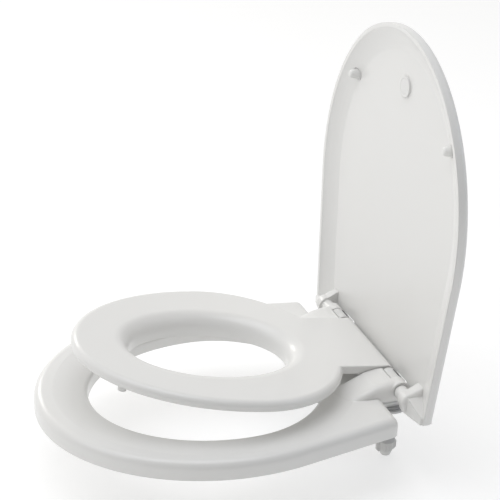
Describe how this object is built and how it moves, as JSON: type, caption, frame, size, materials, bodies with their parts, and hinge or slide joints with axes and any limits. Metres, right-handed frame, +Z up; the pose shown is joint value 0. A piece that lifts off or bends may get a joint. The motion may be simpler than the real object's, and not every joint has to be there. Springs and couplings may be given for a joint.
{
  "type": "toilet seat",
  "caption": "Family toilet seat: hinged lid, child ring with a deep throat and adult seat on one hinge line, with press-button hinge posts and bolt fixings.",
  "frame": {"origin": "midway between the two fixing bolts, on the plane where the gaskets meet the bowl's top face", "axes": "+X towards the picture's near side along the hinge line, -Y towards the front of the bowl, +Z up"},
  "size_m": [0.3688, 0.4466, 0.5144],
  "materials": {
    "white_shell": "gloss moulded white",
    "white_buffer": "soft white",
    "soft_buffer": "soft white rubber",
    "hinge_plastic": "satin moulded white",
    "damper_plastic": "satin grey",
    "bush_plastic": "satin off-white",
    "steel": "drawn stainless",
    "magnet": "plated disc",
    "fixing_plastic": "satin moulded",
    "rubber": "grey rubber"
  },
  "bodies": {
    "hinge_base": {"hinge_post_left": "hinge_plastic", "hinge_post_right": "hinge_plastic", "hinge_pin_left": "steel", "hinge_pin_right": "steel", "fixing_bolt_left": "fixing_plastic", "fixing_bolt_right": "fixing_plastic", "base_gasket_left": "rubber", "base_gasket_right": "rubber", "cone_washer_left": "rubber", "cone_washer_right": "rubber", "wing_nut_left": "fixing_plastic", "wing_nut_right": "fixing_plastic", "button_spring_left": "steel", "button_spring_right": "steel"},
    "adult_seat_body": {"adult_seat": "white_shell", "seat_buffer_front_left": "soft_buffer", "seat_buffer_front_right": "soft_buffer", "seat_buffer_rear_left": "soft_buffer", "seat_buffer_rear_right": "soft_buffer", "seat_damper_left": "damper_plastic", "seat_damper_right": "damper_plastic"},
    "child_ring_body": {"child_ring": "white_shell", "catch_plate": "steel", "ring_buffer_front_left": "white_buffer", "ring_buffer_front_right": "white_buffer", "ring_buffer_rear_left": "white_buffer", "ring_buffer_rear_right": "white_buffer", "ring_bush_left": "bush_plastic", "ring_bush_right": "bush_plastic"},
    "lid_body": {"lid": "white_shell", "catch_magnet": "magnet", "lid_buffer_left": "white_buffer", "lid_buffer_right": "white_buffer", "lid_damper_left": "damper_plastic", "lid_damper_right": "damper_plastic"},
    "button_left": {"release_button_left": "hinge_plastic"},
    "button_right": {"release_button_right": "hinge_plastic"}
  },
  "joints": [
    {"name": "seat_hinge", "type": "hinge", "parent": "hinge_base", "child": "adult_seat_body", "pos_m": [0, 0, 0.034], "axis": [1, 0, 0], "range_deg": [-85, 0]},
    {"name": "ring_hinge", "type": "hinge", "parent": "adult_seat_body", "child": "child_ring_body", "pos_m": [0, 0, 0.034], "axis": [-1, 0, 0], "range_deg": [-8.8, 82.9]},
    {"name": "lid_hinge", "type": "hinge", "parent": "child_ring_body", "child": "lid_body", "pos_m": [0, 0, 0.034], "axis": [-1, 0, 0], "range_deg": [-83.7, 0]},
    {"name": "release_button_left_press", "type": "slide", "parent": "hinge_base", "child": "button_left", "axis": [0, 0, -1], "range_m": [0, 0.002], "stiffness_N_per_m": 400, "deforming": ["button_spring_left"]},
    {"name": "release_button_right_press", "type": "slide", "parent": "hinge_base", "child": "button_right", "axis": [0, 0, -1], "range_m": [0, 0.002], "stiffness_N_per_m": 400, "deforming": ["button_spring_right"]}
  ]
}
